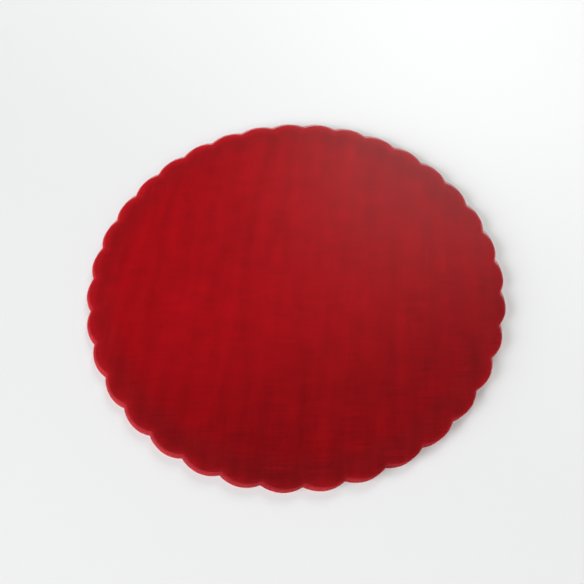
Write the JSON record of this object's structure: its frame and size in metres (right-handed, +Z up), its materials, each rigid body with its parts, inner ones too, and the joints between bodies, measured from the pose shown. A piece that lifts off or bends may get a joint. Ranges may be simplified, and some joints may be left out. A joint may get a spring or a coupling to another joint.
{
  "type": "pile of scalloped fabric rounds",
  "caption": "Squared-up pile of loose sheer fabric rounds with a heat-cut scalloped edge, lying flat; each round slides out or lifts off to wrap a favour.",
  "frame": {"origin": "centre of the bottom round's underside, which is the face that the pile rests on", "axes": "+Z up through the pile, +Y to the back of the table, +X to the right"},
  "size_m": [0.2415, 0.2416, 0.0045],
  "materials": {
    "organza": "satin"
  },
  "bodies": {
    "bottom_round": {"bottom_round": "organza"},
    "round_02": {"round_02": "organza"},
    "round_03": {"round_03": "organza"},
    "round_04": {"round_04": "organza"},
    "round_05": {"round_05": "organza"},
    "round_06": {"round_06": "organza"},
    "round_07": {"round_07": "organza"},
    "round_08": {"round_08": "organza"},
    "round_09": {"round_09": "organza"},
    "round_10": {"round_10": "organza"},
    "round_11": {"round_11": "organza"},
    "round_12": {"round_12": "organza"},
    "round_13": {"round_13": "organza"},
    "round_14": {"round_14": "organza"},
    "round_15": {"round_15": "organza"},
    "round_16": {"round_16": "organza"},
    "round_17": {"round_17": "organza"},
    "round_18": {"round_18": "organza"},
    "round_19": {"round_19": "organza"},
    "round_20": {"round_20": "organza"},
    "round_21": {"round_21": "organza"},
    "round_22": {"round_22": "organza"},
    "round_23": {"round_23": "organza"},
    "round_24": {"round_24": "organza"},
    "round_25": {"round_25": "organza"},
    "round_26": {"round_26": "organza"},
    "round_27": {"round_27": "organza"},
    "round_28": {"round_28": "organza"},
    "round_29": {"round_29": "organza"},
    "round_30": {"round_30": "organza"},
    "round_31": {"round_31": "organza"},
    "round_32": {"round_32": "organza"},
    "round_33": {"round_33": "organza"},
    "round_34": {"round_34": "organza"},
    "round_35": {"round_35": "organza"},
    "round_36": {"round_36": "organza"},
    "round_37": {"round_37": "organza"},
    "round_38": {"round_38": "organza"},
    "round_39": {"round_39": "organza"},
    "round_40": {"round_40": "organza"},
    "round_41": {"round_41": "organza"},
    "round_42": {"round_42": "organza"},
    "round_43": {"round_43": "organza"},
    "round_44": {"round_44": "organza"},
    "round_45": {"round_45": "organza"},
    "round_46": {"round_46": "organza"},
    "round_47": {"round_47": "organza"},
    "round_48": {"round_48": "organza"},
    "round_49": {"round_49": "organza"},
    "top_round": {"top_round": "organza"}
  },
  "joints": [
    {"name": "draw_round_02", "type": "slide", "parent": "bottom_round", "child": "round_02", "axis": [1, 0, 0], "range_m": [0, 0.25]},
    {"name": "draw_round_03", "type": "slide", "parent": "bottom_round", "child": "round_03", "axis": [-0.7374, 0.6755, 0], "range_m": [0, 0.25]},
    {"name": "draw_round_04", "type": "slide", "parent": "bottom_round", "child": "round_04", "axis": [0.0874, -0.9962, 0], "range_m": [0, 0.25]},
    {"name": "draw_round_05", "type": "slide", "parent": "bottom_round", "child": "round_05", "axis": [0.6084, 0.7936, 0], "range_m": [0, 0.25]},
    {"name": "draw_round_06", "type": "slide", "parent": "bottom_round", "child": "round_06", "axis": [-0.9847, -0.1742, 0], "range_m": [0, 0.25]},
    {"name": "draw_round_07", "type": "slide", "parent": "bottom_round", "child": "round_07", "axis": [0.8438, -0.5367, 0], "range_m": [0, 0.25]},
    {"name": "draw_round_08", "type": "slide", "parent": "bottom_round", "child": "round_08", "axis": [-0.2596, 0.9657, 0], "range_m": [0, 0.25]},
    {"name": "draw_round_09", "type": "slide", "parent": "bottom_round", "child": "round_09", "axis": [-0.4609, -0.8874, 0], "range_m": [0, 0.25]},
    {"name": "draw_round_10", "type": "slide", "parent": "bottom_round", "child": "round_10", "axis": [0.9393, 0.343, 0], "range_m": [0, 0.25]},
    {"name": "draw_round_11", "type": "slide", "parent": "bottom_round", "child": "round_11", "axis": [-0.9243, 0.3816, 0], "range_m": [0, 0.25]},
    {"name": "draw_round_12", "type": "slide", "parent": "bottom_round", "child": "round_12", "axis": [0.4238, -0.9057, 0], "range_m": [0, 0.25]},
    {"name": "draw_round_13", "type": "slide", "parent": "bottom_round", "child": "round_13", "axis": [0.2993, 0.9542, 0], "range_m": [0, 0.25]},
    {"name": "draw_round_14", "type": "slide", "parent": "bottom_round", "child": "round_14", "axis": [-0.8652, -0.5014, 0], "range_m": [0, 0.25]},
    {"name": "draw_round_15", "type": "slide", "parent": "bottom_round", "child": "round_15", "axis": [0.9767, -0.2147, 0], "range_m": [0, 0.25]},
    {"name": "draw_round_16", "type": "slide", "parent": "bottom_round", "child": "round_16", "axis": [-0.5751, 0.8181, 0], "range_m": [0, 0.25]},
    {"name": "draw_round_17", "type": "slide", "parent": "bottom_round", "child": "round_17", "axis": [-0.1285, -0.9917, 0], "range_m": [0, 0.25]},
    {"name": "draw_round_18", "type": "slide", "parent": "bottom_round", "child": "round_18", "axis": [0.7646, 0.6444, 0], "range_m": [0, 0.25]},
    {"name": "draw_round_19", "type": "slide", "parent": "bottom_round", "child": "round_19", "axis": [-0.9991, 0.0413, 0], "range_m": [0, 0.25]},
    {"name": "draw_round_20", "type": "slide", "parent": "bottom_round", "child": "round_20", "axis": [0.7088, -0.7054, 0], "range_m": [0, 0.25]},
    {"name": "draw_round_21", "type": "slide", "parent": "bottom_round", "child": "round_21", "axis": [-0.0462, 0.9989, 0], "range_m": [0, 0.25]},
    {"name": "draw_round_22", "type": "slide", "parent": "bottom_round", "child": "round_22", "axis": [-0.6407, -0.7678, 0], "range_m": [0, 0.25]},
    {"name": "draw_round_23", "type": "slide", "parent": "bottom_round", "child": "round_23", "axis": [0.9911, 0.1333, 0], "range_m": [0, 0.25]},
    {"name": "draw_round_24", "type": "slide", "parent": "bottom_round", "child": "round_24", "axis": [-0.8209, 0.5711, 0], "range_m": [0, 0.25]},
    {"name": "draw_round_25", "type": "slide", "parent": "bottom_round", "child": "round_25", "axis": [0.2195, -0.9756, 0], "range_m": [0, 0.25]},
    {"name": "draw_round_26", "type": "slide", "parent": "bottom_round", "child": "round_26", "axis": [0.4972, 0.8676, 0], "range_m": [0, 0.25]},
    {"name": "draw_round_27", "type": "slide", "parent": "bottom_round", "child": "round_27", "axis": [-0.9527, -0.3039, 0], "range_m": [0, 0.25]},
    {"name": "draw_round_28", "type": "slide", "parent": "bottom_round", "child": "round_28", "axis": [0.9078, -0.4194, 0], "range_m": [0, 0.25]},
    {"name": "draw_round_29", "type": "slide", "parent": "bottom_round", "child": "round_29", "axis": [-0.3861, 0.9225, 0], "range_m": [0, 0.25]},
    {"name": "draw_round_30", "type": "slide", "parent": "bottom_round", "child": "round_30", "axis": [-0.3385, -0.941, 0], "range_m": [0, 0.25]},
    {"name": "draw_round_31", "type": "slide", "parent": "bottom_round", "child": "round_31", "axis": [0.8852, 0.4652, 0], "range_m": [0, 0.25]},
    {"name": "draw_round_32", "type": "slide", "parent": "bottom_round", "child": "round_32", "axis": [-0.967, 0.2549, 0], "range_m": [0, 0.25]},
    {"name": "draw_round_33", "type": "slide", "parent": "bottom_round", "child": "round_33", "axis": [0.5408, -0.8411, 0], "range_m": [0, 0.25]},
    {"name": "draw_round_34", "type": "slide", "parent": "bottom_round", "child": "round_34", "axis": [0.1694, 0.9856, 0], "range_m": [0, 0.25]},
    {"name": "draw_round_35", "type": "slide", "parent": "bottom_round", "child": "round_35", "axis": [-0.7906, -0.6123, 0], "range_m": [0, 0.25]},
    {"name": "draw_round_36", "type": "slide", "parent": "bottom_round", "child": "round_36", "axis": [0.9966, -0.0826, 0], "range_m": [0, 0.25]},
    {"name": "draw_round_37", "type": "slide", "parent": "bottom_round", "child": "round_37", "axis": [-0.6791, 0.7341, 0], "range_m": [0, 0.25]},
    {"name": "draw_round_38", "type": "slide", "parent": "bottom_round", "child": "round_38", "axis": [0.0049, -1, 0], "range_m": [0, 0.25]},
    {"name": "draw_round_39", "type": "slide", "parent": "bottom_round", "child": "round_39", "axis": [0.6719, 0.7407, 0], "range_m": [0, 0.25]},
    {"name": "draw_round_40", "type": "slide", "parent": "bottom_round", "child": "round_40", "axis": [-0.9957, -0.0923, 0], "range_m": [0, 0.25]},
    {"name": "draw_round_41", "type": "slide", "parent": "bottom_round", "child": "round_41", "axis": [0.7966, -0.6046, 0], "range_m": [0, 0.25]},
    {"name": "draw_round_42", "type": "slide", "parent": "bottom_round", "child": "round_42", "axis": [-0.179, 0.9839, 0], "range_m": [0, 0.25]},
    {"name": "draw_round_43", "type": "slide", "parent": "bottom_round", "child": "round_43", "axis": [-0.5326, -0.8464, 0], "range_m": [0, 0.25]},
    {"name": "draw_round_44", "type": "slide", "parent": "bottom_round", "child": "round_44", "axis": [0.9644, 0.2643, 0], "range_m": [0, 0.25]},
    {"name": "draw_round_45", "type": "slide", "parent": "bottom_round", "child": "round_45", "axis": [-0.8897, 0.4566, 0], "range_m": [0, 0.25]},
    {"name": "draw_round_46", "type": "slide", "parent": "bottom_round", "child": "round_46", "axis": [0.3476, -0.9376, 0], "range_m": [0, 0.25]},
    {"name": "draw_round_47", "type": "slide", "parent": "bottom_round", "child": "round_47", "axis": [0.377, 0.9262, 0], "range_m": [0, 0.25]},
    {"name": "draw_round_48", "type": "slide", "parent": "bottom_round", "child": "round_48", "axis": [-0.9037, -0.4283, 0], "range_m": [0, 0.25]},
    {"name": "draw_round_49", "type": "slide", "parent": "bottom_round", "child": "round_49", "axis": [0.9556, -0.2946, 0], "range_m": [0, 0.25]},
    {"name": "lift_top_round", "type": "slide", "parent": "bottom_round", "child": "top_round", "axis": [0, 0, 1], "range_m": [0, 0.06]}
  ]
}
